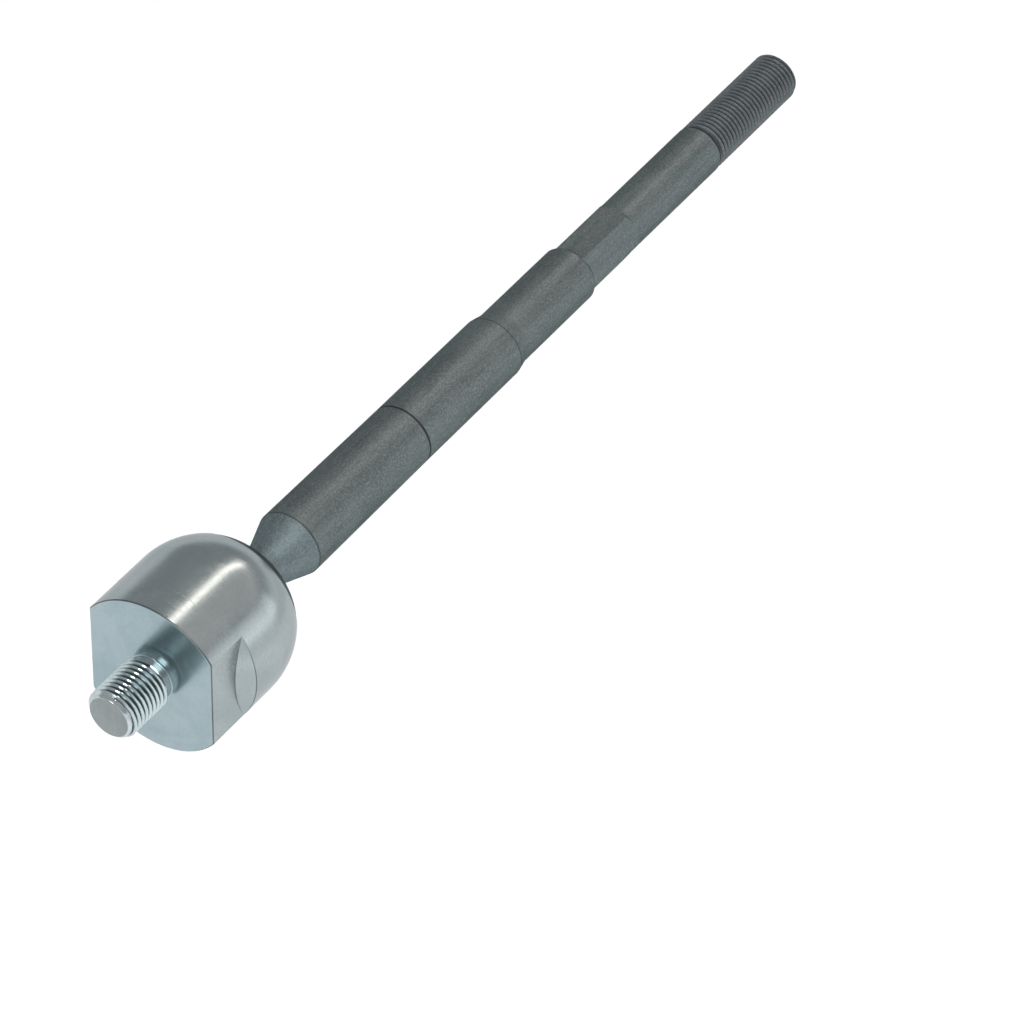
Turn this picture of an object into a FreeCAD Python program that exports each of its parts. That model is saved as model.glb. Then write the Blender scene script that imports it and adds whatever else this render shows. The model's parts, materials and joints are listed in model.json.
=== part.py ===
"""Inner tie rod of a rack-and-pinion steering gear.

A turned steel housing with an integral threaded stud holds the ball of a long forged rod in a two-part
bearing shell. The housing's rear lip is rolled in over the shell, and the rod ends in an outer thread.

Frame, in millimetres: the origin is the centre of the housing's front face, which seats on the end of the
steering rack. +X runs along the rod to its outer thread. The spanner flats face +Y and -Y, and +Z is up.
"""

import FreeCAD, Part
import math
import os

# Housing, outside
HEAD_R = 22.0
HEAD_STRAIGHT = 22.0
DOME_TURN = 33.0
LIP_STEP_DEPTH = 0.12
LIP_R = 16.0
LIP_TURN = 26.0
FACE_CHAMFER = 0.4

# Spanner flats at the front of the housing, running out on a cone about the axis
FLATS_ACROSS = 35.6
FLATS_LENGTH = 9.0
FLATS_RUN_OUT = 3.4
FLATS_EDGE_ROUND = 0.4

# Rack stud, M14 x 1.5, with the thread's major diameter as a plain cylinder
STUD_R = 7.0
STUD_LENGTH = 17.0
STUD_CHAMFER = 1.4
UNDERCUT_R = 6.0
UNDERCUT_LENGTH = 1.8
UNDERCUT_RUNOUT = 0.8
STUD_ROOT_CHAMFER = 0.4

# Ball, neck and the swing that the mouth has to allow, in degrees to each side
BALL_R = 13.0
BALL_POLE_FLAT_R = 4.0
NECK_R = 5.5
NECK_ROOT_R = 0.8
SWING = 25.0
SWING_MARGIN = 1.0

# Bearing shell: a spherical seat this many degrees to each side of the ball's equator, with reliefs beyond
BALL_GAP = 0.3
SEAT_TURN = 20.0
SHELL_WALL = 2.5
RING_GAP = 0.3
CUP_GAP = 0.05
SPLIT_GAP = 0.3
CUP_FLOOR = 2.6
CUP_CORNER = 1.6
CUP_WELL_WALL = 1.3
GREASE_HOLE_R = 3.0

# Cavity and mouth of the housing; the rolled lip is a cone inside, square to this turn from the axis
LIP_CONE_TURN = 60.0
CAVITY_CHAMFER = 1.0
LIP_LAND = 1.0
MOUTH_FLARE_EXTRA = 3.0

# Rod, in lengths from the ball's centre outwards
NECK_LENGTH = 19.7
NECK_BEND_R = 8.0
CONE_LENGTH = 10.9
CONE_END_ROUND = 3.0
SHANK_BASE_R = 9.2
SHANK_R = 8.95
SEAM_FROM_CONE = 48.5
SEAM_HALF_WIDTH = 0.35
SEAM_DEPTH = 0.2
SHANK_LENGTH = 90.0
STEP_LENGTH = 4.3
STEP_ROUND = 2.5
WAIST_R = 8.1
WAIST_LENGTH = 31.5

# Hexagon for the setting spanner
HEX_ACROSS = 14.0
HEX_LENGTH = 21.5
HEX_RUN_IN = 1.5
HEX_END_CHAMFER = 1.2

# Slim section and outer thread, M14 x 1.5, with the thread's major diameter as a plain cylinder
SLIM_R = 7.1
SLIM_LENGTH = 41.0
RELIEF_R = 6.7
RELIEF_LENGTH = 1.2
OUTER_THREAD_R = 7.0
OUTER_THREAD_LENGTH = 40.0
OUTER_CHAMFER = 1.5

# How far a cutting tool stands past what it cuts
PAST = 2.0

# Sizes that follow from the ones above
SHELL_BORE_R = BALL_R + BALL_GAP
CAVITY_R = SHELL_BORE_R + SHELL_WALL + RING_GAP
SWUNG_NECK = SWING + SWING_MARGIN + math.degrees(math.asin(NECK_R / CAVITY_R))
MOUTH_EDGE = CAVITY_R / math.cos(math.radians(LIP_CONE_TURN - SWUNG_NECK))
MOUTH_R = MOUTH_EDGE * math.sin(math.radians(SWUNG_NECK))
MOUTH_REACH = MOUTH_EDGE * math.cos(math.radians(SWUNG_NECK))
MOUTH_FLARE = math.tan(math.radians(SWING + MOUTH_FLARE_EXTRA))
NECK_ROOT_X = math.sqrt((BALL_R + NECK_ROOT_R) ** 2 - (NECK_R + NECK_ROOT_R) ** 2)
NECK_ROOT_TURN = math.degrees(math.atan2(NECK_R + NECK_ROOT_R, NECK_ROOT_X))
RING_TURN = SWING + SWING_MARGIN + NECK_ROOT_TURN


def point(x, r):
    """The point of a turned outline at x along the axis and r out from it."""
    return FreeCAD.Vector(x, 0, r)


def polar(centre_x, radius, turn):
    """The outline's point on a circle about the axis point centre_x, turn degrees away from +X."""
    angle = math.radians(turn)
    return point(centre_x + radius * math.cos(angle), radius * math.sin(angle))


def line(start, end):
    return Part.LineSegment(start, end).toShape()


def arc(start, middle, end):
    return Part.Arc(start, middle, end).toShape()


def rounded_outline(corners):
    """Edges through (x, r, corner radius) points, with a tangent arc at each corner that has a radius."""
    edges = []
    start = point(corners[0][0], corners[0][1])
    for here, after in zip(corners[1:], corners[2:]):
        corner = point(here[0], here[1])
        radius = here[2]
        end = corner
        if radius > 0:
            back = (start - corner).normalize()
            ahead = (point(after[0], after[1]) - corner).normalize()
            half = back.getAngle(ahead) / 2
            reach = radius / math.tan(half)
            inward = (back + ahead).normalize()
            middle = corner + inward * (radius / math.sin(half) - radius)
            end = corner + back * reach
            edges.append(line(start, end))
            edges.append(arc(end, middle, corner + ahead * reach))
            start = corner + ahead * reach
        else:
            edges.append(line(start, corner))
            start = corner
    edges.append(line(start, point(corners[-1][0], corners[-1][1])))
    return edges


def first_point(edges):
    return edges[0].valueAt(edges[0].FirstParameter)


def last_point(edges):
    return edges[-1].valueAt(edges[-1].LastParameter)


def turned(edges):
    """A solid of revolution about X from an open outline, closed by a straight line."""
    closed = edges + [line(last_point(edges), first_point(edges))]
    face = Part.Face(Part.Wire(closed))
    return face.revolve(FreeCAD.Vector(0, 0, 0), FreeCAD.Vector(1, 0, 0), 360)


def dome_and_lip():
    """Outline edges of the housing's rear, from the straight cylinder to the edge of the rolled lip."""

    def outward(turn):
        angle = math.radians(turn)
        return point(math.sin(angle), math.cos(angle))

    centre = point(HEAD_STRAIGHT, 0)
    dome_end = centre + outward(DOME_TURN) * HEAD_R
    lip_start = dome_end - outward(DOME_TURN) * LIP_STEP_DEPTH
    lip_centre = lip_start - outward(DOME_TURN) * LIP_R
    lip_middle = lip_centre + outward(DOME_TURN + LIP_TURN / 2) * LIP_R
    lip_end = lip_centre + outward(DOME_TURN + LIP_TURN) * LIP_R
    return [
        arc(centre + outward(0) * HEAD_R, centre + outward(DOME_TURN / 2) * HEAD_R, dome_end),
        line(dome_end, lip_start),
        arc(lip_start, lip_middle, lip_end),
    ]


def cone_start(gap):
    """Where the bore, narrowed by gap, meets the inside cone of the lip, narrowed as much."""
    turn = math.radians(LIP_CONE_TURN)
    radius = CAVITY_R - gap
    return point(BALL_X + radius * (1 - math.sin(turn)) / math.cos(turn), radius)


def on_cone(gap, turn):
    """The point of the lip's inside cone, narrowed by gap, that lies turn degrees from +X at the ball."""
    return polar(BALL_X, (CAVITY_R - gap) / math.cos(math.radians(LIP_CONE_TURN - turn)), turn)


REAR_EDGES = dome_and_lip()
RIM_X = last_point(REAR_EDGES).x
BALL_X = RIM_X - LIP_LAND - MOUTH_REACH
CAVITY_FLOOR_X = BALL_X - SHELL_BORE_R - CUP_FLOOR

# Stations along the rod
CONE_X = BALL_X + NECK_LENGTH
SHANK_X = CONE_X + CONE_LENGTH
SEAM_X = SHANK_X + SEAM_FROM_CONE
STEP_X = SHANK_X + SHANK_LENGTH
WAIST_X = STEP_X + STEP_LENGTH
HEX_X = WAIST_X + WAIST_LENGTH
HEX_END_X = HEX_X + HEX_LENGTH
SLIM_X = HEX_END_X + HEX_END_CHAMFER
RELIEF_X = SLIM_X + SLIM_LENGTH
THREAD_X = RELIEF_X + RELIEF_LENGTH
END_X = THREAD_X + OUTER_THREAD_LENGTH


def housing_blank():
    """Stud, front face, cylinder, dome and lip as one turned solid."""
    front = [
        (-STUD_LENGTH, 0, 0),
        (-STUD_LENGTH, STUD_R - STUD_CHAMFER, 0),
        (-STUD_LENGTH + STUD_CHAMFER, STUD_R, 0),
        (-UNDERCUT_LENGTH - UNDERCUT_RUNOUT, STUD_R, 0),
        (-UNDERCUT_LENGTH, UNDERCUT_R, 0),
        (-STUD_ROOT_CHAMFER, UNDERCUT_R, 0),
        (0, UNDERCUT_R + STUD_ROOT_CHAMFER, 0),
        (0, HEAD_R - FACE_CHAMFER, 0),
        (FACE_CHAMFER, HEAD_R, 0),
        (HEAD_STRAIGHT, HEAD_R, 0),
    ]
    rim = line(last_point(REAR_EDGES), point(RIM_X, 0))
    return turned(rounded_outline(front) + REAR_EDGES + [rim])


def ball_cavity():
    """What the boring tool and the rolled lip leave open: bore, inside of the lip and flared mouth."""
    bore_end = cone_start(0)
    return turned(rounded_outline([
        (CAVITY_FLOOR_X, 0, 0),
        (CAVITY_FLOOR_X, CAVITY_R - CAVITY_CHAMFER, 0),
        (CAVITY_FLOOR_X + CAVITY_CHAMFER, CAVITY_R, 0),
        (bore_end.x, bore_end.z, 0),
        (BALL_X + MOUTH_REACH, MOUTH_R, 0),
        (RIM_X + PAST, MOUTH_R + (LIP_LAND + PAST) * MOUTH_FLARE, 0),
        (RIM_X + PAST, 0, 0),
    ]))


def flats_reach():
    """The space in front of the cone on which the spanner flats run out."""
    flat = FLATS_ACROSS / 2
    run_per_height = FLATS_RUN_OUT / (HEAD_R - flat)
    return turned(rounded_outline([
        (-2 * PAST, 0, 0),
        (-2 * PAST, HEAD_R + PAST, 0),
        (FLATS_LENGTH + FLATS_RUN_OUT + run_per_height * PAST, HEAD_R + PAST, 0),
        (FLATS_LENGTH - run_per_height * PAST, flat - PAST, 0),
        (FLATS_LENGTH - run_per_height * PAST, 0, 0),
    ]))


def flat_cutter(side):
    """The cut that leaves one spanner flat, on the +Y side for 1 and on the -Y side for -1."""
    flat = FLATS_ACROSS / 2
    end_x = FLATS_LENGTH + FLATS_RUN_OUT + PAST
    outline = rounded_outline([
        (-PAST, flat - FLATS_EDGE_ROUND - PAST, 0),
        (FLATS_EDGE_ROUND, flat, FLATS_EDGE_ROUND),
        (end_x, flat, 0),
        (end_x, HEAD_R + PAST, 0),
        (-PAST, HEAD_R + PAST, 0),
        (-PAST, flat - FLATS_EDGE_ROUND - PAST, 0),
    ])
    face = Part.Face(Part.Wire(outline))
    face.rotate(FreeCAD.Vector(0, 0, 0), FreeCAD.Vector(1, 0, 0), -90 * side)
    half_height = HEAD_R + PAST
    face.translate(FreeCAD.Vector(0, 0, -half_height))
    slab = face.extrude(FreeCAD.Vector(0, 0, 2 * half_height))
    return slab.common(flats_reach())


def housing():
    shape = housing_blank().cut(ball_cavity())
    for side in (1, -1):
        shape = shape.cut(flat_cutter(side))
    return shape


def ball_outline():
    """Outline edges of the ball and the fillet that runs it into the neck."""
    pole_turn = 180 - math.degrees(math.asin(BALL_POLE_FLAT_R / BALL_R))
    pole_edge = polar(BALL_X, BALL_R, pole_turn)
    root_start = polar(BALL_X, BALL_R, NECK_ROOT_TURN)
    root_centre = point(BALL_X + NECK_ROOT_X, NECK_R + NECK_ROOT_R)
    root_end = point(BALL_X + NECK_ROOT_X, NECK_R)
    to_middle = ((root_start - root_centre) + (root_end - root_centre)).normalize()
    return [
        line(point(pole_edge.x, 0), pole_edge),
        arc(pole_edge, polar(BALL_X, BALL_R, (pole_turn + NECK_ROOT_TURN) / 2), root_start),
        arc(root_start, root_centre + to_middle * NECK_ROOT_R, root_end),
    ]


def rod_blank():
    """Ball, neck, cone, shank, waist, hexagon blank, slim section and outer thread as one turned solid."""
    body = rounded_outline([
        (BALL_X + NECK_ROOT_X, NECK_R, 0),
        (CONE_X, NECK_R, NECK_BEND_R),
        (SHANK_X, SHANK_BASE_R, CONE_END_ROUND),
        (SEAM_X - SEAM_HALF_WIDTH, SHANK_R, 0),
        (SEAM_X, SHANK_R - SEAM_DEPTH, 0),
        (SEAM_X + SEAM_HALF_WIDTH, SHANK_R, 0),
        (STEP_X, SHANK_R, STEP_ROUND),
        (WAIST_X, WAIST_R, STEP_ROUND),
        (HEX_END_X, WAIST_R, 0),
        (SLIM_X, SLIM_R, 0),
        (RELIEF_X, SLIM_R, 0),
        (RELIEF_X + SLIM_R - RELIEF_R, RELIEF_R, 0),
        (THREAD_X - (OUTER_THREAD_R - RELIEF_R), RELIEF_R, 0),
        (THREAD_X, OUTER_THREAD_R, 0),
        (END_X - OUTER_CHAMFER, OUTER_THREAD_R, 0),
        (END_X, OUTER_THREAD_R - OUTER_CHAMFER, 0),
        (END_X, 0, 0),
    ])
    return turned(ball_outline() + body)


def hexagon_cutter():
    """The ring of metal outside the hexagon, with a sloped end where the milling runs in from the waist."""
    inner = HEX_ACROSS / 2
    outer = WAIST_R + PAST
    ring = turned(rounded_outline([
        (HEX_X + HEX_RUN_IN, inner / 2, 0),
        (HEX_X + HEX_RUN_IN, inner, 0),
        (HEX_X, WAIST_R, 0),
        (HEX_X - HEX_RUN_IN, outer, 0),
        (SLIM_X, outer, 0),
        (SLIM_X, inner / 2, 0),
    ]))
    corner_r = inner / math.cos(math.pi / 6)
    corners = []
    for k in range(7):
        angle = math.radians(60 * k)
        corners.append(FreeCAD.Vector(HEX_X - PAST, corner_r * math.cos(angle), corner_r * math.sin(angle)))
    prism_face = Part.Face(Part.makePolygon(corners))
    prism = prism_face.extrude(FreeCAD.Vector(HEX_LENGTH + HEX_END_CHAMFER + 2 * PAST, 0, 0))
    return ring.cut(prism)


def ball_rod():
    return rod_blank().cut(hexagon_cutter())


def bearing_cup():
    """Front half of the shell, pressed into the bore, with a grease well and hole behind the ball."""
    outer_r = CAVITY_R - CUP_GAP
    split_x = BALL_X - SPLIT_GAP / 2
    split_turn = 180 - math.degrees(math.acos(SPLIT_GAP / 2 / SHELL_BORE_R))
    seat_end = 90 + SEAT_TURN
    relief_slope = math.radians(seat_end)
    well_x = CAVITY_FLOOR_X + CUP_WELL_WALL
    well_r = (SHELL_BORE_R - (well_x - BALL_X) * math.cos(relief_slope)) / math.sin(relief_slope)
    seat_start = polar(BALL_X, SHELL_BORE_R, split_turn)
    seat_stop = polar(BALL_X, SHELL_BORE_R, seat_end)
    outside = rounded_outline([
        (CAVITY_FLOOR_X, GREASE_HOLE_R, 0),
        (CAVITY_FLOOR_X, outer_r - CUP_CORNER, 0),
        (CAVITY_FLOOR_X + CUP_CORNER, outer_r, 0),
        (split_x, outer_r, 0),
        (seat_start.x, seat_start.z, 0),
    ])
    seat = arc(seat_start, polar(BALL_X, SHELL_BORE_R, (split_turn + seat_end) / 2), seat_stop)
    well = rounded_outline([
        (seat_stop.x, seat_stop.z, 0),
        (well_x, well_r, 0),
        (well_x, GREASE_HOLE_R, 0),
    ])
    return turned(outside + [seat] + well)


def bearing_ring():
    """Rear half of the shell, held in by the rolled lip and free to turn with the rod."""
    split_x = BALL_X + SPLIT_GAP / 2
    split_turn = math.degrees(math.acos(SPLIT_GAP / 2 / SHELL_BORE_R))
    seat_end = 90 - SEAT_TURN
    seat_start = polar(BALL_X, SHELL_BORE_R, split_turn)
    seat_stop = polar(BALL_X, SHELL_BORE_R, seat_end)
    seat = arc(seat_stop, polar(BALL_X, SHELL_BORE_R, (split_turn + seat_end) / 2), seat_start)
    bend = cone_start(RING_GAP)
    rear_edge = on_cone(RING_GAP, RING_TURN)
    mouth_edge = polar(BALL_X, SHELL_BORE_R / math.cos(math.radians(seat_end - RING_TURN)), RING_TURN)
    outside = rounded_outline([
        (split_x, CAVITY_R - RING_GAP, 0),
        (bend.x, bend.z, 0),
        (rear_edge.x, rear_edge.z, 0),
        (mouth_edge.x, mouth_edge.z, 0),
        (seat_stop.x, seat_stop.z, 0),
    ])
    return turned(outside + [seat])


NODES = {
    "housing": housing,
    "ball_rod": ball_rod,
    "bearing_cup": bearing_cup,
    "bearing_ring": bearing_ring,
}

os.makedirs("parts", exist_ok=True)
for name, make in NODES.items():
    shape = make()
    shape.exportStep("parts/" + name + ".step")
    box = shape.BoundBox
    print(f"{name}: {len(shape.Solids)} solid, valid {shape.isValid()}, {shape.Volume:.0f} mm3, "
          f"x {box.XMin:.2f} to {box.XMax:.2f}")
print(f"rim {RIM_X:.2f}, ball centre {BALL_X:.3f}, cavity floor {CAVITY_FLOOR_X:.2f}")
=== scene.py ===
"""Looks of an inner tie rod: plated housing with a threaded stud, phosphated rod, acetal bearing shell.

Lengths are in millimetres until a mesh is made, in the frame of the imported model: the origin is the centre
of the housing's front face, +X runs along the rod, and the two spanner flats face +Y and -Y.
"""

import json
import math

import bpy
import bmesh
from mathutils import Matrix, Vector


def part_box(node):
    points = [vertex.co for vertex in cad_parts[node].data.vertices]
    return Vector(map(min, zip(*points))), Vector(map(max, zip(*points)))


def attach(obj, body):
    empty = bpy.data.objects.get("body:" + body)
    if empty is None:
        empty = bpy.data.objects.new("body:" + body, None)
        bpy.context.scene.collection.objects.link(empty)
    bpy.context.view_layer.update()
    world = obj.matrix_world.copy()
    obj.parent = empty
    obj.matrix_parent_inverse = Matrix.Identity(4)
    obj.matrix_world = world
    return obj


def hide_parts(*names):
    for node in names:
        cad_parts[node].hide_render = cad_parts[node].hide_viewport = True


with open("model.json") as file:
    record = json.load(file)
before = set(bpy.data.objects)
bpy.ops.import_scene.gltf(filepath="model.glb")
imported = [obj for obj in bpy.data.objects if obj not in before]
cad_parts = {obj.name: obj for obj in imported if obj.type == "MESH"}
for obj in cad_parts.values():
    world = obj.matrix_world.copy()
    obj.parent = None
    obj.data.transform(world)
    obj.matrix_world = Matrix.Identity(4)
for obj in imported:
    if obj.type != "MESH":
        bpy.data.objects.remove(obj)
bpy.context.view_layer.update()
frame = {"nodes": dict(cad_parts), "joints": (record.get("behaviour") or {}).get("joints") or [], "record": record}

MM = 0.001
MOUNTS = {mount["name"]: mount for mount in frame["record"]["mounts"]}
BALL_X = frame["joints"][0]["pos_m"][0] / MM


def box_mm(node):
    """Lowest and highest corner of a CAD node, in millimetres."""
    low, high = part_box(node)
    return low / MM, high / MM


HOUSING_LOW, HOUSING_HIGH = box_mm("housing")
ROD_HIGH = box_mm("ball_rod")[1]
CUP_LOW = box_mm("bearing_cup")[0]
RING_HIGH = box_mm("bearing_ring")[1]

# Both threads, M14 x 1.5
THREAD_PITCH = 1.5
THREAD_R = MOUNTS["rack_stud"]["dims"]["r_mm"]
THREAD_ROOT_R = 6.08

# Housing, outside
TIP_X = HOUSING_LOW.x
RIM_X = HOUSING_HIGH.x
HEAD_R = 22.0
HEAD_STRAIGHT = 22.0
FACE_ROUND = 0.3
DOME_TURN = 33.0
LIP_STEP = 0.12
LIP_R = 16.0
LIP_TURN = 26.0

# Spanner flats at the front of the housing
FLAT_Y = MOUNTS["spanner_flat_left"]["pos_m"][1] / MM
FLATS_LENGTH = 9.0
FLATS_RUN_OUT = 3.4

# Stud and the undercut at its root
STUD_CHAMFER = 1.4
UNDERCUT_R = 6.0
UNDERCUT_LENGTH = 1.8
UNDERCUT_RUNOUT = 0.8
STUD_ROOT_ROUND = 0.4

# Housing, inside
RING_GAP = 0.3
CAVITY_R = RING_HIGH.z + RING_GAP
CAVITY_FLOOR_X = CUP_LOW.x
CAVITY_CORNER = 1.0
LIP_CONE_TURN = 60.0
LIP_LAND = 1.0
MOUTH_FLARE_TURN = 28.0
MOUTH_TURN = 46.0

# Ball, neck and the rod's stations, which count from the ball's centre
BALL_R = 13.0
BALL_POLE_FLAT_R = 4.0
NECK_R = 5.5
NECK_ROOT_R = 0.8
NECK_LENGTH = 19.7
NECK_BEND_R = 8.0
CONE_LENGTH = 10.9
CONE_END_ROUND = 0.8
SHANK_BASE_R = 9.2
SHANK_R = 8.95
SEAM_FROM_CONE = 48.5
SEAM_HALF_WIDTH = 0.35
SEAM_DEPTH = 0.2
SHANK_LENGTH = 90.0
STEP_LENGTH = 4.3
STEP_ROUND = 2.0
WAIST_R = 8.1
WAIST_LENGTH = 31.5
HEX_ACROSS = 14.0
HEX_SIDE_TURN = 60.0
HEX_LENGTH = 21.5
HEX_RUN_IN = 1.5
HEX_END_CHAMFER = 1.2
SLIM_R = 7.1
SLIM_LENGTH = 41.0
RELIEF_R = 6.7
RELIEF_LENGTH = 1.2
OUTER_CHAMFER = 1.5
END_X = ROD_HIGH.x

DOME_END_X = HEAD_STRAIGHT + HEAD_R * math.sin(math.radians(DOME_TURN))
CONE_X = BALL_X + NECK_LENGTH
SHANK_X = CONE_X + CONE_LENGTH
SEAM_X = SHANK_X + SEAM_FROM_CONE
STEP_X = SHANK_X + SHANK_LENGTH
WAIST_X = STEP_X + STEP_LENGTH
HEX_X = WAIST_X + WAIST_LENGTH
HEX_END_X = HEX_X + HEX_LENGTH
SLIM_X = HEX_END_X + HEX_END_CHAMFER
RELIEF_X = SLIM_X + SLIM_LENGTH
OUTER_THREAD_X = RELIEF_X + RELIEF_LENGTH

# Small rounds and lands at the threads' ends
TIP_ROUND = 0.25
TIP_LAND = 0.3

# Painted shade in the root of a thread: how far above the root's radius it starts to fade and where it ends
ROOT_SHADE_FROM = 0.1
ROOT_SHADE_TO = 0.62

# Where looks change, as shares of an edge's round, of the stud's chamfer and of the thread's run-out
EDGE_HAIR = 0.05
THREAD_LOOK_START = 0.8
THREAD_LOOK_END = 0.7

# Painted shade lines at both ends of the flats' cone: their share of its width, and how near to it their faces lie
RUN_OUT_BORDER = 0.045
RUN_OUT_NEAR = 0.045

# Fineness of the turned meshes: steps round the axis and on half a flat, and degrees to one step of an arc
ROUND_STEPS = 144
FLAT_HALF_STEPS = 14
ARC_STEP_TURN = 6.0
LONG_ARC_STEP_TURN = 3.0
LEAST_ARC_STEPS = 3
EDGE_STEPS = 6

# Rings of the front face and the flats' cone as shares of their width, and where the steps are even again
FACE_MARGIN = 0.6
FACE_SHARES = (0.3, 0.7, 0.99)
RUN_OUT_SHARES = (0.0, RUN_OUT_BORDER, 0.2, 0.4, 0.6, 0.8, 1.0 - RUN_OUT_BORDER, 1.0)
EVENING_END_X = 20.0
EVENING_STEPS = 20

# Distance of the rings beside an edge, welding distance in metres, and the turn that makes an edge sharp
SUPPORT = 0.12
WELD = 1e-7
SHARP_TURN = 28.0

# Camera, from the fit to the photograph's outline, for a frame of 1024 by 1024
CAMERA_AZIMUTH = -57.65
CAMERA_ELEVATION = 41.9
CAMERA_ROLL = 1.43
CAMERA_DISTANCE = 1312.0
CAMERA_AIM = (116.3, -26.6, -20.0)
CAMERA_LENS = 182.8
SENSOR_WIDTH = 36.0
CLIP_START = 0.05
CLIP_END = 100.0

# Floor: drop below the housing in millimetres, then half width and the stretch that turns white in metres
FLOOR_DROP = 450.0
FLOOR_HALF = 30.0
FLOOR_NEAR = 1.2
FLOOR_FAR = 6.0
FLOOR_LIFT = 0.36
FLOOR_FAR_LIFT = 0.62
FLOOR_TONE = (0.9, 0.9, 0.9, 1.0)
FLOOR_PALE = (0.92, 0.92, 0.92, 1.0)
FLOOR_GLOW = (1.0, 1.0, 1.0, 1.0)

# The room's colour up to the first height of the ramp and from the second one on
HORIZON_TOP = 0.10
HORIZON_COLOUR = (0.95, 0.95, 0.95, 1.0)
ROOM_FROM = 0.22
ROOM_COLOUR = (0.34, 0.35, 0.36, 1.0)

# Soft lamps as (name, place, size, watts, colour), in metres, all turned to the same point
LAMP_AIM = (0.06, 0.0, 0.0)
WARM = (1.0, 0.86, 0.77)
NEUTRAL = (1.0, 1.0, 1.0)
LAMPS = (
    ("key_strip", (1.06, -0.02, 1.26), (0.16, 1.4), 3.7, WARM),
    ("side_box", (1.1, -1.5, 0.35), (1.4, 0.7), 2.4, NEUTRAL),
    ("rear_box", (1.3, -0.75, 1.35), (1.3, 1.1), 1.6, WARM),
    ("front_glint", (-1.88, 0.55, 0.48), (0.3, 0.5), 5.0, NEUTRAL),
    ("top_box", (-0.9, -0.8, 2.05), (1.8, 1.8), 34.0, NEUTRAL),
)

# Share of the light that plated and phosphated steel keep where they are seen at a grazing angle
ZINC_EDGE = (0.72, 0.74, 0.75, 1.0)
# The lip keeps little: painted shade on the rolled lip
LIP_EDGE_PAINTED_SHADE = (0.12, 0.13, 0.135, 1.0)
STEEL_EDGE = (0.16, 0.17, 0.17, 1.0)

# Grain in the plate, streaks in the steel, and the streaks' waves to the metre along the rod and across it
ZINC_GRAIN = (0.2, 0.22, 0.22, 1.0)
STEEL_STREAK = (0.045, 0.05, 0.052, 1.0)
STREAK_WAVES = (70.0, 1100.0, 1100.0)


def turned_angles(half_flat_turn):
    """Angles round the axis, from +Y to +Z, with the flats' edges half_flat_turn away from +Y and -Y."""
    round_steps = ROUND_STEPS // 2 - 2 * FLAT_HALF_STEPS
    half_turn = []
    for k in range(FLAT_HALF_STEPS):
        half_turn.append(half_flat_turn * k / FLAT_HALF_STEPS)
    for k in range(round_steps):
        half_turn.append(half_flat_turn + (180 - 2 * half_flat_turn) * k / round_steps)
    for k in range(FLAT_HALF_STEPS):
        half_turn.append(180 - half_flat_turn + half_flat_turn * k / FLAT_HALF_STEPS)
    whole_turn = half_turn + [turn + 180 for turn in half_turn] + [360]
    return [math.radians(turn) for turn in whole_turn]


# Angles of a ring whose steps are all equal
EVEN_TURN = 360.0 * FLAT_HALF_STEPS / ROUND_STEPS
EVEN_ANGLES = turned_angles(EVEN_TURN)


def ring(x, r, angles=EVEN_ANGLES):
    """A circle of points about the axis, closed by repeating the first one."""
    return [(x, r * math.cos(angle), r * math.sin(angle)) for angle in angles]


def flatted_ring(x, r, flat):
    """A circle of radius r with its +Y and -Y sides cut off at the distance flat."""
    half_flat_turn = math.degrees(math.acos(min(1.0, flat / r)))
    points = []
    for x_here, y, z in ring(x, r, turned_angles(half_flat_turn)):
        if abs(y) > flat:
            z = z * flat / abs(y)
            y = math.copysign(flat, y)
        points.append((x_here, y, z))
    return points


def blended(ring_a, ring_b, share):
    """The ring that lies a share of the way from ring_a to ring_b."""
    return [tuple(a + (b - a) * share for a, b in zip(p, q)) for p, q in zip(ring_a, ring_b)]


def rounded(corners):
    """Points (x, r) along an outline of (x, r, corner radius) entries, with arcs at its rounded corners."""
    points = []
    for before, here, after in zip([None] + corners[:-1], corners, corners[1:] + [None]):
        corner = Vector(here[:2])
        if before is None or after is None:
            points.append(corner)
            continue
        back = (Vector(before[:2]) - corner).normalized()
        ahead = (Vector(after[:2]) - corner).normalized()
        if here[2] == 0:
            points += [corner + back * SUPPORT, corner, corner + ahead * SUPPORT]
            continue
        half = back.angle(ahead) / 2
        reach = here[2] / math.tan(half)
        centre = corner + (back + ahead).normalized() * (here[2] / math.sin(half))
        start = corner + back * reach - centre
        turn = (corner + ahead * reach - centre).angle_signed(start)
        steps = max(LEAST_ARC_STEPS, round(abs(math.degrees(turn)) / ARC_STEP_TURN))
        points.append(corner + back * (reach + SUPPORT))
        for k in range(steps + 1):
            points.append(centre + Matrix.Rotation(turn * k / steps, 2) @ start)
        points.append(corner + ahead * (reach + SUPPORT))
    return [(p.x, p.y) for p in points]


def arc(centre_x, centre_r, radius, start_turn, end_turn):
    """Points (x, r) on a circle, for turns in degrees counted from +X towards the outside."""
    steps = max(LEAST_ARC_STEPS, round(abs(end_turn - start_turn) / LONG_ARC_STEP_TURN))
    points = []
    for k in range(steps + 1):
        turn = math.radians(start_turn + (end_turn - start_turn) * k / steps)
        points.append((centre_x + radius * math.cos(turn), centre_r + radius * math.sin(turn)))
    return points


# One pitch of the thread as (share of the pitch, share of the depth) from root to root
THREAD_FORM = (
    (0.0, 0.0), (0.08, 0.03), (0.14, 0.12), (0.40, 0.91), (0.45, 1.0),
    (0.55, 1.0), (0.60, 0.91), (0.86, 0.12), (0.92, 0.03),
)


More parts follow.
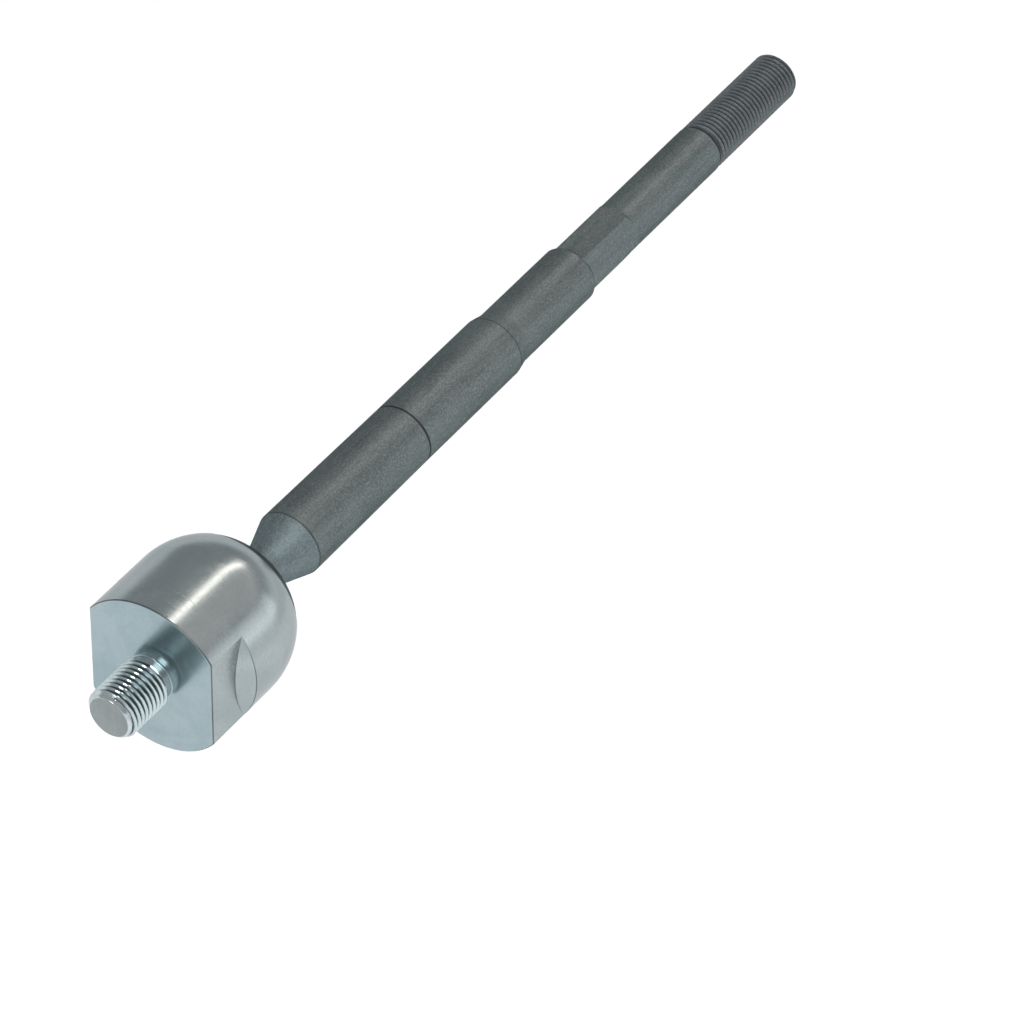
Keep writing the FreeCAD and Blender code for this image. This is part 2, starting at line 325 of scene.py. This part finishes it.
def threaded(start_x, end_x, outline):
    """Rings of a right-handed thread from start_x to end_x, between the radii that outline(x) gives."""
    turns = math.ceil((end_x - start_x) / THREAD_PITCH)
    rings = []
    for turn in range(-1, turns + 1):
        for share, height in THREAD_FORM:
            points = []
            for angle in EVEN_ANGLES:
                lead = angle / (2 * math.pi)
                x = start_x + (turn + share + lead) * THREAD_PITCH
                x = min(max(x, start_x), end_x)
                lowest, highest = outline(x)
                r = THREAD_ROOT_R + (THREAD_R - THREAD_ROOT_R) * height
                if x in (start_x, end_x):
                    r = highest
                r = min(max(r, lowest), highest)
                points.append((x, r * math.cos(angle), r * math.sin(angle)))
            rings.append(points)
    return rings


def new_mesh(name, rings):
    """A closed mesh in metres through rings of points, the first and last of which lie on the axis."""
    steps = len(rings[0]) - 1
    bm = bmesh.new()
    rows = [[bm.verts.new([c * MM for c in point]) for point in points] for points in rings]
    for row_a, row_b in zip(rows, rows[1:]):
        for k in range(steps):
            bm.faces.new((row_a[k], row_a[k + 1], row_b[k + 1], row_b[k]))
    bmesh.ops.remove_doubles(bm, verts=bm.verts, dist=WELD)
    bmesh.ops.dissolve_degenerate(bm, edges=bm.edges, dist=WELD)
    bmesh.ops.recalc_face_normals(bm, faces=bm.faces)
    mesh = bpy.data.meshes.new(name)
    bm.to_mesh(mesh)
    bm.free()
    mesh.shade_smooth()
    mesh.set_sharp_from_angle(angle=math.radians(SHARP_TURN))
    return mesh


def stud_outline(x):
    """Lowest and highest radius of the stud's thread at x: chamfered tip, run-out at the undercut."""
    tip = THREAD_R - STUD_CHAMFER + (x - TIP_X)
    run_out = UNDERCUT_R - (x + UNDERCUT_LENGTH) * (THREAD_R - UNDERCUT_R) / UNDERCUT_RUNOUT
    return 0, min(THREAD_R, tip, run_out)


def outer_outline(x):
    """Lowest and highest radius of the rod's thread at x: grooves fade in, the end is chamfered."""
    fade_in = RELIEF_R - (x - OUTER_THREAD_X) * (RELIEF_R - THREAD_ROOT_R) / THREAD_PITCH
    tip = THREAD_R - OUTER_CHAMFER + (END_X - x)
    return min(fade_in, tip), min(THREAD_R, RELIEF_R + (x - OUTER_THREAD_X), tip)


def front_face_rings():
    """Undercut, front face and its rounded edge, which follows the two flats."""
    rings = [ring(x, r) for x, r in rounded([
        (-UNDERCUT_LENGTH, UNDERCUT_R, 0),
        (0, UNDERCUT_R, STUD_ROOT_ROUND),
        (0, UNDERCUT_R + FACE_MARGIN, 0),
    ])[1:]]
    inner = rings[-1]
    outer = flatted_ring(0, HEAD_R - FACE_ROUND, FLAT_Y - FACE_ROUND)
    rings += [blended(inner, outer, share) for share in FACE_SHARES]
    for k in range(EDGE_STEPS + 1):
        turn = math.pi / 2 * k / EDGE_STEPS
        inset = FACE_ROUND * (1 - math.sin(turn))
        rings.append(flatted_ring(FACE_ROUND * (1 - math.cos(turn)), HEAD_R - inset, FLAT_Y - inset))
    return rings


def run_out_x(r):
    """Where the cone that the flats run out on has the radius r."""
    return FLATS_LENGTH + FLATS_RUN_OUT - (HEAD_R - r) * FLATS_RUN_OUT / (HEAD_R - FLAT_Y)


def flats_rings():
    """The flats, the cone they run out on and the full cylinder behind it."""
    full = FLATS_LENGTH + FLATS_RUN_OUT
    flat_half_turn = math.degrees(math.acos(FLAT_Y / HEAD_R))
    rings = [flatted_ring(x, HEAD_R, FLAT_Y) for x in (FACE_ROUND + SUPPORT, FLATS_LENGTH / 2)]
    for share in RUN_OUT_SHARES:
        points = []
        for _, y, z in flatted_ring(0, HEAD_R, FLAT_Y):
            r = math.hypot(y, z)
            out = r + (HEAD_R - r) * share
            points.append((run_out_x(out), y * out / r, z * out / r))
        rings.append(points)
    for k in range(1, EVENING_STEPS + 1):
        share = k / EVENING_STEPS
        half_turn = flat_half_turn + (EVEN_TURN - flat_half_turn) * share
        rings.append(ring(full + (EVENING_END_X - full) * share, HEAD_R, turned_angles(half_turn)))
    return rings


def rear_outline():
    """Points (x, r) of the dome, the step and the rolled lip, up to the flat rim."""
    end_turn = 90 - DOME_TURN
    outward = Vector((math.cos(math.radians(end_turn)), math.sin(math.radians(end_turn))))
    dome_end = Vector((HEAD_STRAIGHT, 0)) + outward * HEAD_R
    lip_centre = dome_end - outward * (LIP_STEP + LIP_R)
    points = arc(HEAD_STRAIGHT, 0, HEAD_R, 90, end_turn)
    points += arc(lip_centre.x, lip_centre.y, LIP_R, end_turn, end_turn - LIP_TURN)
    return points


def polar(radius, turn):
    """The outline's point at radius from the ball's centre, turn degrees away from +X."""
    angle = math.radians(turn)
    return BALL_X + radius * math.cos(angle), radius * math.sin(angle)


def cavity_outline():
    """Points (x, r) from the rim through the mouth, along the lip's inside and the bore, to the floor."""
    mouth = polar(CAVITY_R / math.cos(math.radians(LIP_CONE_TURN - MOUTH_TURN)), MOUTH_TURN)
    cone = math.radians(LIP_CONE_TURN)
    return [
        (RIM_X, mouth[1] + LIP_LAND * math.tan(math.radians(MOUTH_FLARE_TURN))),
        mouth,
        (BALL_X + CAVITY_R * (1 - math.sin(cone)) / math.cos(cone), CAVITY_R),
        (CAVITY_FLOOR_X + CAVITY_CORNER, CAVITY_R),
        (CAVITY_FLOOR_X, CAVITY_R - CAVITY_CORNER),
        (CAVITY_FLOOR_X, 0),
    ]


def housing_rings():
    """The housing's rings from the stud's tip, over the outside and back through the bore to its floor."""
    tip_r = THREAD_R - STUD_CHAMFER
    tip = rounded([(TIP_X, 0, 0), (TIP_X, tip_r, TIP_ROUND), (TIP_X + TIP_LAND, tip_r + TIP_LAND, 0)])
    rings = [ring(x, r) for x, r in tip[:-1]]
    rings += threaded(TIP_X + TIP_LAND, -UNDERCUT_LENGTH, stud_outline)
    rings += front_face_rings()
    rings += flats_rings()
    rings += [ring(x, r) for x, r in rear_outline() + cavity_outline()]
    return rings


def hexagon_ring(x, turned_r):
    """A ring of the hexagon, with corners on +Y and -Y, where the turned outline has turned_r."""
    slope = (WAIST_R - HEX_ACROSS / 2) / HEX_RUN_IN
    run_in = max(HEX_ACROSS / 2, WAIST_R - (x - HEX_X) * slope)
    points = []
    for angle in EVEN_ANGLES:
        from_flat = math.radians(math.degrees(angle) % HEX_SIDE_TURN - HEX_SIDE_TURN / 2)
        hexagon_r = HEX_ACROSS / 2 / math.cos(from_flat)
        r = min(turned_r, max(run_in, hexagon_r))
        points.append((x, r * math.cos(angle), r * math.sin(angle)))
    return points


def hexagon_rings():
    """The hexagon's run-in behind the waist and the chamfer that ends it at the slim section."""
    rings = []
    for k in range(EDGE_STEPS + 1):
        rings.append(hexagon_ring(HEX_X + HEX_RUN_IN * k / EDGE_STEPS, WAIST_R))
    for k in range(EDGE_STEPS + 1):
        share = k / EDGE_STEPS
        turned_r = WAIST_R - (WAIST_R - SLIM_R) * share
        rings.append(hexagon_ring(HEX_END_X + HEX_END_CHAMFER * share, turned_r))
    return rings


def ball_outline():
    """Points (x, r) of the ball, from the flat on its pole to the fillet that runs it into the neck."""
    pole_turn = 180 - math.degrees(math.asin(BALL_POLE_FLAT_R / BALL_R))
    root_x = math.sqrt((BALL_R + NECK_ROOT_R) ** 2 - (NECK_R + NECK_ROOT_R) ** 2)
    root_turn = math.degrees(math.atan2(NECK_R + NECK_ROOT_R, root_x))
    points = [(polar(BALL_R, pole_turn)[0], 0)]
    points += arc(BALL_X, 0, BALL_R, pole_turn, root_turn)
    points += arc(BALL_X + root_x, NECK_R + NECK_ROOT_R, NECK_ROOT_R, 180 + root_turn, 270)[1:]
    return points


def rod_rings():
    """The rod's rings from the ball's pole to the end of the outer thread."""
    ball = ball_outline()
    shaft = rounded([
        (ball[-1][0], NECK_R, 0),
        (CONE_X, NECK_R, NECK_BEND_R),
        (SHANK_X, SHANK_BASE_R, CONE_END_ROUND),
        (SEAM_X - SEAM_HALF_WIDTH, SHANK_R, 0),
        (SEAM_X, SHANK_R - SEAM_DEPTH, 0),
        (SEAM_X + SEAM_HALF_WIDTH, SHANK_R, 0),
        (STEP_X, SHANK_R, STEP_ROUND),
        (WAIST_X, WAIST_R, STEP_ROUND),
        (HEX_X, WAIST_R, 0),
    ])
    slim = rounded([
        (SLIM_X, SLIM_R, 0),
        (RELIEF_X, SLIM_R, 0),
        (RELIEF_X + SLIM_R - RELIEF_R, RELIEF_R, 0),
        (OUTER_THREAD_X, RELIEF_R, 0),
    ])
    end_r = THREAD_R - OUTER_CHAMFER
    end = rounded([(END_X - TIP_LAND, end_r + TIP_LAND, 0), (END_X, end_r, TIP_ROUND), (END_X, 0, 0)])
    rings = [ring(x, r) for x, r in ball + shaft[:-1]]
    rings += hexagon_rings()
    rings += [ring(x, r) for x, r in slim[1:-1]]
    rings += threaded(OUTER_THREAD_X, END_X - TIP_LAND, outer_outline)
    rings += [ring(x, r) for x, r in end[1:]]
    return rings


def add_piece(name, rings, body, node):
    """A piece that stands for a CAD node and rides on its body."""
    piece = bpy.data.objects.new(name, new_mesh(name, rings))
    bpy.context.scene.collection.objects.link(piece)
    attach(piece, body)
    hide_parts(node)
    return piece


class Nodes:
    """A short way to write a material's node tree."""

    def __init__(self, name):
        """A new material with its shader and the place on the object at hand."""
        self.material = bpy.data.materials.new(name)
        self.material.use_nodes = True
        self.tree = self.material.node_tree
        self.shader = self.tree.nodes["Principled BSDF"]
        self.place = self.add("ShaderNodeTexCoord").outputs["Object"]

    def add(self, kind, inputs=None, **settings):
        """A new node, its inputs linked to sockets or set to values."""
        node = self.tree.nodes.new(kind)
        for key, value in settings.items():
            setattr(node, key, value)
        for key, value in (inputs or {}).items():
            if isinstance(value, bpy.types.NodeSocket):
                self.tree.links.new(value, node.inputs[key])
            else:
                node.inputs[key].default_value = value
        return node

    def math(self, operation, *values):
        """The result of one calculation on sockets or numbers."""
        node = self.add("ShaderNodeMath", dict(enumerate(values)), operation=operation)
        return node.outputs[0]

    def noise(self, vector, scale, detail=3.0, roughness=0.5, distortion=0.0):
        """Soft noise between 0 and 1, with scale waves to one unit of the vector."""
        inputs = {"Vector": vector, "Scale": scale, "Detail": detail, "Roughness": roughness,
                  "Distortion": distortion}
        return self.add("ShaderNodeTexNoise", inputs).outputs["Fac"]

    def stretched(self, factors):
        """The place, with each of its coordinates multiplied by its own factor."""
        inputs = {0: self.place, 1: factors}
        return self.add("ShaderNodeVectorMath", inputs, operation="MULTIPLY").outputs[0]

    def along_and_out(self):
        """The place along the axis and the distance out from it, in metres."""
        x, y, z = self.add("ShaderNodeSeparateXYZ", {0: self.place}).outputs
        squares = self.math("ADD", self.math("POWER", y, 2.0), self.math("POWER", z, 2.0))
        return x, self.math("SQRT", squares)

    def turned_place(self):
        """Coordinates that are equal all round the axis."""
        along, out = self.along_and_out()
        return self.add("ShaderNodeCombineXYZ", {0: along, 1: out}).outputs[0]

    def painted_root_shade_share(self):
        """Share of the painted shade: 1 in the root of a thread and 0 on its crest."""
        _, out = self.along_and_out()
        shaded_r = (THREAD_ROOT_R + ROOT_SHADE_FROM) * MM
        clear_r = (THREAD_ROOT_R + ROOT_SHADE_TO) * MM
        return self.span(out, shaded_r, clear_r, 1.0, 0.0)

    def span(self, value, low, high, to_low=0.0, to_high=1.0):
        """to_low up to the value low, to_high from the value high on, and a smooth change between."""
        inputs = {"Value": value, "From Min": low, "From Max": high, "To Min": to_low, "To Max": to_high}
        return self.add("ShaderNodeMapRange", inputs, interpolation_type="SMOOTHSTEP").outputs[0]

    def mix(self, share, colour_a, colour_b):
        """colour_a, with a share of colour_b mixed in."""
        inputs = {0: share, 6: colour_a, 7: colour_b}
        return self.add("ShaderNodeMix", inputs, data_type="RGBA").outputs[2]

    def bump(self, height, distance, strength, normal=None):
        """A normal for relief that is distance metres deep, on top of the normal that it is given."""
        inputs = {"Height": height, "Distance": distance, "Strength": strength}
        if normal:
            inputs["Normal"] = normal
        return self.add("ShaderNodeBump", inputs).outputs[0]

    def set(self, **values):
        """Links or sets the shader's own sockets and returns the material."""
        for key, value in values.items():
            socket = self.shader.inputs[key.replace("_", " ")]
            if isinstance(value, bpy.types.NodeSocket):
                self.tree.links.new(value, socket)
            else:
                socket.default_value = value
        return self.material


def zinc_material(name, light, shade, smooth, rough, ring_strength, edge=ZINC_EDGE, root_painted_shade=None):
    """Turned, zinc-plated steel: tool rings, a cloudy plate, a satin grain, and painted shade in a thread's roots
    if a root colour is given.
    """
    n = Nodes(name)
    rings = n.noise(n.turned_place(), scale=2600.0, detail=1.5, roughness=0.6)
    clouds = n.noise(n.place, scale=70.0, detail=6.0, roughness=0.6, distortion=0.6)
    grain = n.noise(n.place, scale=1500.0, detail=3.0, roughness=0.6)
    colour = n.mix(n.span(clouds, 0.35, 0.65), shade, light)
    colour = n.mix(n.span(grain, 0.3, 0.7, to_high=0.16), colour, ZINC_GRAIN)
    # Painted shade: a thread's roots are darkened to stand in for the shade in its grooves
    if root_painted_shade:
        colour = n.mix(n.painted_root_shade_share(), colour, root_painted_shade)
    gloss = n.math("ADD", n.span(clouds, 0.3, 0.7, smooth, rough), n.span(rings, 0.2, 0.8, -0.04, 0.05))
    normal = n.bump(rings, distance=0.00003, strength=ring_strength)
    normal = n.bump(grain, distance=0.00002, strength=0.3, normal=normal)
    return n.set(Base_Color=colour, Metallic=0.85, Roughness=gloss, Normal=normal, Specular_Tint=edge)


def phosphate_material(name, shade, light, fleck, lustre, root_painted_shade=None):
    """Forged, phosphated, oiled steel: pale flecks, drawn streaks, faint clouds, and painted shade in a thread's
    roots if a root colour is given.
    """
    n = Nodes(name)
    clouds = n.noise(n.place, scale=60.0, detail=5.0, roughness=0.6, distortion=0.4)
    flecks = n.noise(n.place, scale=2100.0, detail=4.0, roughness=0.75)
    grain = n.noise(n.place, scale=3200.0, detail=2.0, roughness=0.6)
    streaks = n.noise(n.stretched(STREAK_WAVES), scale=1.0, detail=3.0, roughness=0.6)
    colour = n.mix(n.span(clouds, 0.25, 0.75), shade, light)
    colour = n.mix(n.span(flecks, 0.44, 0.64, to_high=0.6), colour, fleck)
    colour = n.mix(n.span(streaks, 0.45, 0.75, to_high=0.2), colour, STEEL_STREAK)
    # Painted shade: a thread's roots are darkened to stand in for the shade in its grooves
    if root_painted_shade:
        colour = n.mix(n.painted_root_shade_share(), colour, root_painted_shade)
    gloss = n.math("ADD", n.span(flecks, 0.3, 0.7, 0.47, 0.57), n.span(clouds, 0.3, 0.7, -0.03, 0.03))
    normal = n.bump(flecks, distance=0.00005, strength=0.4)
    normal = n.bump(grain, distance=0.00003, strength=0.4, normal=normal)
    return n.set(Base_Color=colour, Metallic=lustre, Roughness=gloss, Normal=normal,
                 Specular_Tint=STEEL_EDGE, Specular_IOR_Level=0.25)


def acetal_material():
    """Moulded off-white acetal with a faint cloudiness and a fine mould texture."""
    n = Nodes("moulded_acetal")
    shade = (0.74, 0.72, 0.66, 1.0)
    light = (0.83, 0.82, 0.77, 1.0)
    clouds = n.noise(n.place, scale=120.0, detail=4.0, roughness=0.6)
    grain = n.noise(n.place, scale=1800.0, detail=2.0, roughness=0.5)
    colour = n.mix(n.span(clouds, 0.3, 0.7), shade, light)
    gloss = n.span(grain, 0.3, 0.7, 0.38, 0.5)
    normal = n.bump(grain, distance=0.00002, strength=0.3)
    return n.set(Base_Color=colour, Roughness=gloss, Normal=normal)


def give_by_x(piece, materials):
    """Gives each face the last of the (start_x, material) entries that starts at or below its middle."""
    for start_x, material in materials:
        piece.data.materials.append(material)
    for face in piece.data.polygons:
        x = face.center.x / MM
        face.material_index = max(k for k, entry in enumerate(materials) if x >= entry[0])


def line_run_out(piece, material):
    """Gives the thin border strips of the flats' run-out cone a material of their own, which paints shade lines
    there.
    """
    piece.data.materials.append(material)
    for face in piece.data.polygons:
        x, y, z = (c / MM for c in face.center)
        r = math.hypot(y, z)
        if abs(x - run_out_x(r)) > RUN_OUT_NEAR or abs(z) > abs(y):
            continue
        flat_r = FLAT_Y * r / abs(y)
        share = (r - flat_r) / (HEAD_R - flat_r)
        if min(share, 1 - share) < RUN_OUT_BORDER:
            face.material_index = len(piece.data.materials) - 1


def area_light(name, place, aim, size, watts, colour):
    """A soft rectangular lamp at place, turned to aim, both in metres."""
    lamp = bpy.data.lights.new(name, "AREA")
    lamp.shape = "RECTANGLE"
    lamp.size, lamp.size_y = size
    lamp.energy = watts
    lamp.color = colour
    holder = bpy.data.objects.new(name, lamp)
    holder.location = place
    holder.rotation_euler = (Vector(aim) - Vector(place)).to_track_quat("-Z", "Y").to_euler()
    bpy.context.scene.collection.objects.link(holder)


def studio_world():
    """A dim studio room with a pale band at the horizon."""
    world = bpy.data.worlds.new("studio")
    world.use_nodes = True
    tree = world.node_tree
    place = tree.nodes.new("ShaderNodeTexCoord")
    parts = tree.nodes.new("ShaderNodeSeparateXYZ")
    ramp = tree.nodes.new("ShaderNodeValToRGB")
    tree.links.new(place.outputs["Generated"], parts.inputs[0])
    tree.links.new(parts.outputs[2], ramp.inputs[0])
    horizon, room = ramp.color_ramp.elements
    horizon.position = HORIZON_TOP
    horizon.color = HORIZON_COLOUR
    room.position = ROOM_FROM
    room.color = ROOM_COLOUR
    tree.links.new(ramp.outputs[0], tree.nodes["Background"].inputs[0])
    bpy.context.scene.world = world


def studio_floor():
    """A plain white floor, drawn white to the camera and in reflections where no shadow falls."""
    mesh = bpy.data.meshes.new("floor")
    z = (HOUSING_LOW.z - FLOOR_DROP) * MM
    corners = [(-FLOOR_HALF, -FLOOR_HALF, z), (FLOOR_HALF, -FLOOR_HALF, z),
               (FLOOR_HALF, FLOOR_HALF, z), (-FLOOR_HALF, FLOOR_HALF, z)]
    mesh.from_pydata(corners, [], [(0, 1, 2, 3)])
    floor = bpy.data.objects.new("floor", mesh)
    bpy.context.scene.collection.objects.link(floor)
    n = Nodes("floor_white")
    tone = n.span(n.noise(n.place, scale=6.0, detail=2.0), 0.3, 0.7)
    colour = n.mix(tone, FLOOR_TONE, FLOOR_PALE)
    rays = n.add("ShaderNodeLightPath").outputs
    mirrored = n.math("MAXIMUM", rays["Is Glossy Ray"], rays["Is Transmission Ray"])
    seen = n.math("MAXIMUM", rays["Is Camera Ray"], mirrored)
    away = n.add("ShaderNodeVectorMath", {0: n.place}, operation="LENGTH").outputs["Value"]
    lift = n.span(away, FLOOR_NEAR, FLOOR_FAR, FLOOR_LIFT, FLOOR_FAR_LIFT)
    n.set(Base_Color=colour, Roughness=0.9, Emission_Color=FLOOR_GLOW,
          Emission_Strength=n.math("MULTIPLY", seen, lift), Specular_IOR_Level=0.0)
    floor.data.materials.append(n.material)


def camera():
    """The camera at the photograph's viewing angle."""
    azimuth, elevation, roll = (math.radians(a) for a in (CAMERA_AZIMUTH, CAMERA_ELEVATION, CAMERA_ROLL))
    back = Vector((
        math.sin(azimuth) * math.cos(elevation),
        -math.cos(azimuth) * math.cos(elevation),
        math.sin(elevation),
    ))
    right = Vector((0, 0, 1)).cross(back).normalized()
    up = back.cross(right)
    rolled_right = right * math.cos(roll) + up * math.sin(roll)
    rolled_up = up * math.cos(roll) - right * math.sin(roll)
    data = bpy.data.cameras.new("camera")
    data.lens = CAMERA_LENS
    data.sensor_width = SENSOR_WIDTH
    data.clip_start = CLIP_START
    data.clip_end = CLIP_END
    holder = bpy.data.objects.new("camera", data)
    turn = Matrix((rolled_right, rolled_up, back)).transposed()
    place = (Vector(CAMERA_AIM) + back * CAMERA_DISTANCE) * MM
    holder.matrix_world = Matrix.Translation(place) @ turn.to_4x4()
    bpy.context.scene.collection.objects.link(holder)
    bpy.context.scene.camera = holder


def lights():
    """All the lamps of the studio."""
    for name, place, size, watts, colour in LAMPS:
        area_light(name, place, LAMP_AIM, size, watts, colour)


camera()
studio_world()
studio_floor()
lights()

zinc = zinc_material(
    "zinc_plate", light=(0.4, 0.455, 0.465, 1.0), shade=(0.338, 0.395, 0.405, 1.0),
    smooth=0.19, rough=0.27, ring_strength=0.12)
faced_zinc = zinc_material(
    "faced_zinc", light=(0.375, 0.47, 0.5, 1.0), shade=(0.315, 0.41, 0.44, 1.0),
    smooth=0.17, rough=0.23, ring_strength=0.12)
# A brighter, smoother copy of the plate: painted light on the stud's chamfer and on the undercut at its root
bright_zinc_painted_light = zinc_material(
    "bright_zinc_painted_light", light=(0.66, 0.73, 0.75, 1.0), shade=(0.55, 0.62, 0.64, 1.0),
    smooth=0.08, rough=0.14, ring_strength=0.15)
# The stud's thread: a brighter copy of the plate paints light on the thread, and its roots get painted shade
thread_zinc_painted_light_and_shade = zinc_material(
    "thread_zinc_painted_light_and_shade", light=(0.64, 0.73, 0.75, 1.0), shade=(0.52, 0.62, 0.64, 1.0),
    smooth=0.08, rough=0.14, ring_strength=0.15, root_painted_shade=(0.03, 0.045, 0.05, 1.0))
# A darker copy of the plate: painted shade on the stud's end face
tip_zinc_painted_shade = zinc_material(
    "tip_zinc_painted_shade", light=(0.3, 0.33, 0.335, 1.0), shade=(0.24, 0.27, 0.27, 1.0),
    smooth=0.2, rough=0.3, ring_strength=0.3)
# A darker copy of the plate with a weak grazing reflection: painted shade on the rolled lip behind the dome
lip_zinc_painted_shade = zinc_material(
    "lip_zinc_painted_shade", light=(0.25, 0.285, 0.29, 1.0), shade=(0.2, 0.23, 0.235, 1.0),
    smooth=0.26, rough=0.34, ring_strength=0.15, edge=LIP_EDGE_PAINTED_SHADE)
# A dark copy of the plate: painted shade lines on the front face's edge and at the borders of the flats' cone
edge_zinc_painted_shade = zinc_material(
    "edge_zinc_painted_shade", light=(0.15, 0.17, 0.18, 1.0), shade=(0.1, 0.115, 0.12, 1.0),
    smooth=0.3, rough=0.4, ring_strength=0.2)
phosphate = phosphate_material(
    "phosphated_steel", shade=(0.132, 0.158, 0.16, 1.0), light=(0.168, 0.2, 0.202, 1.0),
    fleck=(0.32, 0.362, 0.362, 1.0), lustre=0.85)
cone_steel = phosphate_material(
    "cone_steel", shade=(0.138, 0.18, 0.192, 1.0), light=(0.176, 0.222, 0.236, 1.0),
    fleck=(0.32, 0.38, 0.394, 1.0), lustre=0.8)
# A nearly black copy of the steel: painted shade in the seam's groove and in the relief before the outer thread
groove_steel_painted_shade = phosphate_material(
    "groove_steel_painted_shade", shade=(0.03, 0.034, 0.035, 1.0), light=(0.045, 0.049, 0.05, 1.0),
    fleck=(0.08, 0.086, 0.087, 1.0), lustre=0.4)
# A darker copy of the steel: painted shade in the creases at the cone's end and at the step to the waist
crease_steel_painted_shade = phosphate_material(
    "crease_steel_painted_shade", shade=(0.07, 0.079, 0.08, 1.0), light=(0.09, 0.1, 0.101, 1.0),
    fleck=(0.16, 0.17, 0.17, 1.0), lustre=0.6)
# The rod's outer thread, with painted shade in its roots
thread_steel = phosphate_material(
    "thread_steel", shade=(0.13, 0.148, 0.156, 1.0), light=(0.166, 0.188, 0.197, 1.0),
    fleck=(0.3, 0.325, 0.335, 1.0), lustre=0.8, root_painted_shade=(0.045, 0.05, 0.052, 1.0))
acetal = acetal_material()

housing = add_piece("housing_body", housing_rings(), "housing", "housing")
give_by_x(housing, [
    (TIP_X - TIP_LAND, tip_zinc_painted_shade),
    (TIP_X + TIP_ROUND * EDGE_HAIR, bright_zinc_painted_light),
    (TIP_X + STUD_CHAMFER * THREAD_LOOK_START, thread_zinc_painted_light_and_shade),
    (-UNDERCUT_LENGTH - UNDERCUT_RUNOUT * THREAD_LOOK_END, bright_zinc_painted_light),
    (-STUD_ROOT_ROUND, faced_zinc),
    (FACE_ROUND * EDGE_HAIR, edge_zinc_painted_shade),
    (FACE_ROUND, zinc),
    (DOME_END_X, lip_zinc_painted_shade),
])
line_run_out(housing, edge_zinc_painted_shade)

rod = add_piece("rod_body", rod_rings(), "rod", "ball_rod")
give_by_x(rod, [
    (TIP_X, cone_steel),
    (SHANK_X - CONE_END_ROUND / 2, crease_steel_painted_shade),
    (SHANK_X + CONE_END_ROUND / 2, phosphate),
    (SEAM_X - SEAM_HALF_WIDTH, groove_steel_painted_shade),
    (SEAM_X + SEAM_HALF_WIDTH, phosphate),
    (STEP_X - SEAM_HALF_WIDTH / 2, crease_steel_painted_shade),
    (STEP_X + SEAM_HALF_WIDTH / 2, phosphate),
    (RELIEF_X, groove_steel_painted_shade),
    (OUTER_THREAD_X, thread_steel),
    (END_X - TIP_ROUND, phosphate),
])

for node in ("bearing_cup", "bearing_ring"):
    shell = frame["nodes"][node]
    shell.data.materials.clear()
    shell.data.materials.append(acetal)

bpy.context.view_layer.update()

bpy.context.scene.view_settings.view_transform = "Standard"
